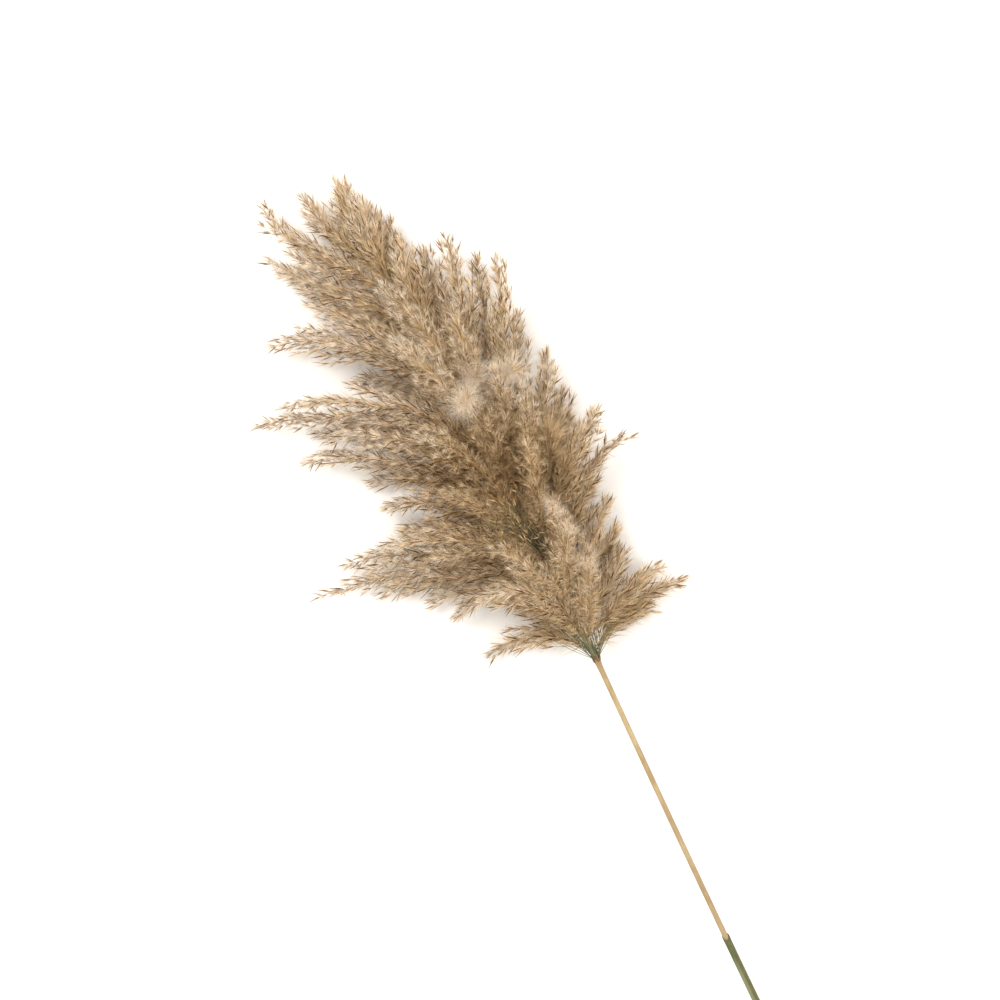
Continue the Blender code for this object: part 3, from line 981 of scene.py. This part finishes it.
def fibre_group():
    """Long fibres that run along the reed, brighter on their ridges, and broad patches."""
    group, start, end = new_group("long_fibres", ("Across", "Length"), ("Fibres", "Patches"))
    place = place_on_object(group)
    parts = parts_of(group, place)
    stretched = {
        axis: sums(group, "MULTIPLY", parts[axis], start.outputs[scale])
        for axis, scale in (("X", "Across"), ("Y", "Length"), ("Z", "Across"))
    }
    vector = add_node(group, "ShaderNodeCombineXYZ", stretched).outputs["Vector"]
    put(group, end, {"Fibres": noise(group, vector, 1.0, 5), "Patches": noise(group, place, 45.0, 3)})


def stem_material(colours, mouth_y, neck_y):
    """Straw with fine fibres and browner patches, duller near the sheath, brown at the neck and green past it."""
    material, tree, shader = new_material("reed_straw")
    streaks, patches = from_group(tree, "long_fibres", 2600.0, 30.0)
    pale = ramp(tree, streaks, ((0.32, (0.74, 0.66, 0.56)), (0.6, WHITE), (0.78, (1.12, 1.1, 1.02))))
    own = tinted(tree, colours.stem_straw, pale)
    own = tinted(tree, own, ramp(tree, patches, ((0.36, (0.78, 0.7, 0.6)), (0.56, WHITE))), 0.8)
    duller = rise_between(tree, "Y", mouth_y + 150 * MM, mouth_y)
    own = mix_colours(tree, duller, own, tinted(tree, own, (0.84, 0.79, 0.76)))
    rim = sums(tree, "MULTIPLY", rise_between(tree, "Y", neck_y - 7 * MM, neck_y), 0.8)
    own = mix_colours(tree, rim, own, colours.neck_brown)
    bundle, _ = from_group(tree, "long_fibres", 1300.0, 12.0)
    stalks = ((0.4, colours.olive_twig), (0.52, colours.green_twig), (0.62, colours.straw_twig))
    past_neck = rise_between(tree, "Y", neck_y, neck_y + 5 * MM)
    own = mix_colours(tree, past_neck, own, ramp(tree, bundle, stalks))
    rough = sums(tree, "MULTIPLY_ADD", patches, 0.3, 0.28)
    put(tree, shader, {"Base Color": own, "Roughness": rough, "Normal": bump(tree, streaks, 0.12 * MM)})
    return material


def sheath_material(colours, mouth_x, mouth_y):
    """Grey-green leaf with parallel veins and browner patches, and paler down the side where it laps over."""
    material, tree, shader = new_material("leaf_sage")
    veins, patches = from_group(tree, "long_fibres", 3600.0, 14.0)
    brightness = ((0.3, 0.5), (0.5, 1), (0.72, 1.6))
    own = ramp(tree, veins, [(place, [share * c for c in colours.sheath_sage]) for place, share in brightness])
    side = rise_between(tree, "X", mouth_x - 0.1 * MM, mouth_x - 1.3 * MM)
    lap = sums(tree, "MULTIPLY", side, rise_between(tree, "Y", mouth_y - 15 * MM, mouth_y - 28 * MM))
    own = mix_colours(tree, lap, own, colours.sheath_lap)
    own = tinted(tree, own, ramp(tree, patches, ((0.4, WHITE), (0.7, (1.45, 1.2, 0.95)))), 0.9)
    rough = sums(tree, "MULTIPLY_ADD", veins, 0.3, 0.4)
    put(tree, shader, {"Base Color": own, "Roughness": rough, "Normal": bump(tree, veins, 0.2 * MM)})
    put(tree, shader, {"Specular IOR Level": 0.3})
    return material


def smoothed_copy(node, name):
    """A copy of a solid whose loose triangles are joined up, made quads and smoothed."""
    bpy.ops.object.select_all(action="DESELECT")
    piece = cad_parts[node].copy()
    piece.data = piece.data.copy()
    piece.name = name
    bpy.context.scene.collection.objects.link(piece)
    piece.select_set(True)
    bpy.context.view_layer.objects.active = piece
    bpy.ops.object.mode_set(mode="EDIT")
    bpy.ops.mesh.select_all(action="SELECT")
    bpy.ops.mesh.remove_doubles(threshold=1e-6)
    bpy.ops.mesh.tris_convert_to_quads(face_threshold=math.radians(40), shape_threshold=math.radians(40))
    bpy.ops.mesh.select_all(action="DESELECT")
    bpy.ops.mesh.edges_select_sharp(sharpness=math.radians(50))
    bpy.ops.transform.edge_crease(value=0.9)
    bpy.ops.object.mode_set(mode="OBJECT")
    finer = piece.modifiers.new("finer", "SUBSURF")
    finer.levels = finer.render_levels = 1
    bpy.ops.object.modifier_apply(modifier=finer.name)
    bpy.ops.object.shade_smooth_by_angle(angle=math.radians(50))
    return piece


class REED_OT_stem(bpy.types.Operator):
    """Make the stem and the leaf sheath"""

    bl_idname = "reed.stem"
    bl_label = "Stem And Sheath"

    def execute(self, context):
        colours = context.scene.reed_colours
        fibre_group()
        mouth_x, mouth_y = sheath_mouth()
        dressed = (
            ("stem", "straw_stem", stem_material(colours, mouth_y, neck_point()[1])),
            ("leaf_sheath", "sage_sheath", sheath_material(colours, mouth_x, mouth_y)),
        )
        for node, slot, material in dressed:
            piece = smoothed_copy(node, f"{node}_fine")
            piece.data.materials.clear()
            piece.data.materials.append(material)
            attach(piece, "root")
            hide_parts(node)
        return {"FINISHED"}


class REED_OT_sprays(bpy.types.Operator):
    """Make the sprays of the plume"""

    bl_idname = "reed.sprays"
    bl_label = "Sprays"

    def execute(self, context):
        plume = Plume(context.scene)
        tufts = plume.shared_tufts()
        for number, node in enumerate(SPRAYS):
            spray = Spray(plume, node, number)
            spray.grow(tufts[node])
            piece = spray.piece(f"{node}_plumes")
            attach(piece, "root")
            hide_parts(node)
        return {"FINISHED"}


class REED_OT_stalks(bpy.types.Operator):
    """Make the green stalks that spread from the neck, and the fringe of scales round the neck"""

    bl_idname = "reed.stalks"
    bl_label = "Green Stalks"

    def execute(self, context):
        stalks = Stalks(Plume(context.scene), 77)
        stalks.grow()
        piece = stalks.piece("neck_stalks")
        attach(piece, "root")
        return {"FINISHED"}


class StageSettings(bpy.types.PropertyGroup):
    """The camera, the table and the light."""

    camera_height: length_setting("Camera Height", "Height of the camera above the table", 903)
    camera_turn: bpy.props.FloatProperty(
        name="Camera Turn",
        description="How far the stem leans in the view",
        default=math.radians(25.36),
        subtype="ANGLE",
    )
    view_from_neck: bpy.props.FloatVectorProperty(
        name="View From Neck",
        description="Middle of the view on the table, from the neck",
        default=(-11.94 * MM, 117.29 * MM, 0),
        subtype="TRANSLATION",
        unit="LENGTH",
    )
    table_white: colour_setting("Table", "Colour of the table", (0.95, 0.915, 0.87))
    room_light: colour_setting("Room Light", "Colour of the light from all sides", (1.0, 0.99, 0.975))
    room_strength: bpy.props.FloatProperty(
        name="Room Strength", description="Strength of the light from all sides", default=1.28
    )


class REED_OT_stage(bpy.types.Operator):
    """Set the table, the lights and the camera"""

    bl_idname = "reed.stage"
    bl_label = "Stage"

    def execute(self, context):
        stage = context.scene.reed_stage
        set_table(stage)
        light_room(context.scene, stage)
        context.scene.camera = place_camera(context.scene, stage)
        context.scene.view_settings.view_transform = "Standard"
        return {"FINISHED"}


def set_table(stage):
    """A wide white table at height 0."""
    bpy.ops.object.select_all(action="DESELECT")
    bpy.ops.mesh.primitive_plane_add(size=60, location=(0, 0, 0))
    table = bpy.context.object
    table.name = "table"
    material, tree, shader = new_material("white_table")
    put(tree, shader, {"Base Color": stage.table_white, "Roughness": 0.9})
    table.data.materials.append(material)


def light_room(scene, stage):
    """Soft light from all sides, with a little more from a window above the plume and from the right."""
    world = bpy.data.worlds.new("soft_room")
    world.use_nodes = True
    background = world.node_tree.nodes["Background"]
    put(world.node_tree, background, {"Color": stage.room_light, "Strength": stage.room_strength})
    scene.world = world
    for name, place, size, power in (
        ("window_light", (-0.5, 1.0, 1.7), 0.8, 20),
        ("fill_light", (0.9, -0.2, 1.2), 0.5, 4),
    ):
        lamp = bpy.data.lights.new(name, "AREA")
        lamp.size = size
        lamp.energy = power
        light = bpy.data.objects.new(name, lamp)
        scene.collection.objects.link(light)
        light.location = place
        light.rotation_euler = (Vector((0, 0.1, 0)) - Vector(place)).to_track_quat("-Z", "Y").to_euler()


def place_camera(scene, stage):
    """A camera that looks straight down, turned so that the stem leans as in the picture."""
    camera = bpy.data.objects.new("camera", bpy.data.cameras.new("camera"))
    scene.collection.objects.link(camera)
    camera.data.lens = 50
    camera.data.sensor_width = 36
    middle = Vector(neck_point()) + Vector(stage.view_from_neck)
    middle.z = stage.camera_height
    camera.matrix_world = Matrix.Translation(middle) @ Matrix.Rotation(-stage.camera_turn, 4, "Z")
    return camera


class REED_PT_panel(bpy.types.Panel):
    """Sizes and colours of the reed, and a button for each group of pieces"""

    bl_label = "Dried Reed"
    bl_idname = "REED_PT_panel"
    bl_space_type = "VIEW_3D"
    bl_region_type = "UI"
    bl_category = "Reed"

    def draw(self, context):
        for group in (context.scene.reed_sizes, context.scene.reed_colours, context.scene.reed_stage):
            for name in group.__annotations__:
                self.layout.prop(group, name)
        for operator in (REED_OT_stem, REED_OT_sprays, REED_OT_stalks, REED_OT_stage):
            self.layout.operator(operator.bl_idname)


CLASSES = (
    ReedSizes,
    ReedColours,
    StageSettings,
    REED_OT_stem,
    REED_OT_sprays,
    REED_OT_stalks,
    REED_OT_stage,
    REED_PT_panel,
)


def register():
    for made in CLASSES:
        bpy.utils.register_class(made)
    bpy.types.Scene.reed_sizes = bpy.props.PointerProperty(type=ReedSizes)
    bpy.types.Scene.reed_colours = bpy.props.PointerProperty(type=ReedColours)
    bpy.types.Scene.reed_stage = bpy.props.PointerProperty(type=StageSettings)


def unregister():
    del bpy.types.Scene.reed_stage
    del bpy.types.Scene.reed_colours
    del bpy.types.Scene.reed_sizes
    for made in reversed(CLASSES):
        bpy.utils.unregister_class(made)


def main():
    register()
    bpy.ops.reed.stem()
    bpy.ops.reed.sprays()
    bpy.ops.reed.stalks()
    bpy.ops.reed.stage()
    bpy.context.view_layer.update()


if __name__ == "__main__":
    main()
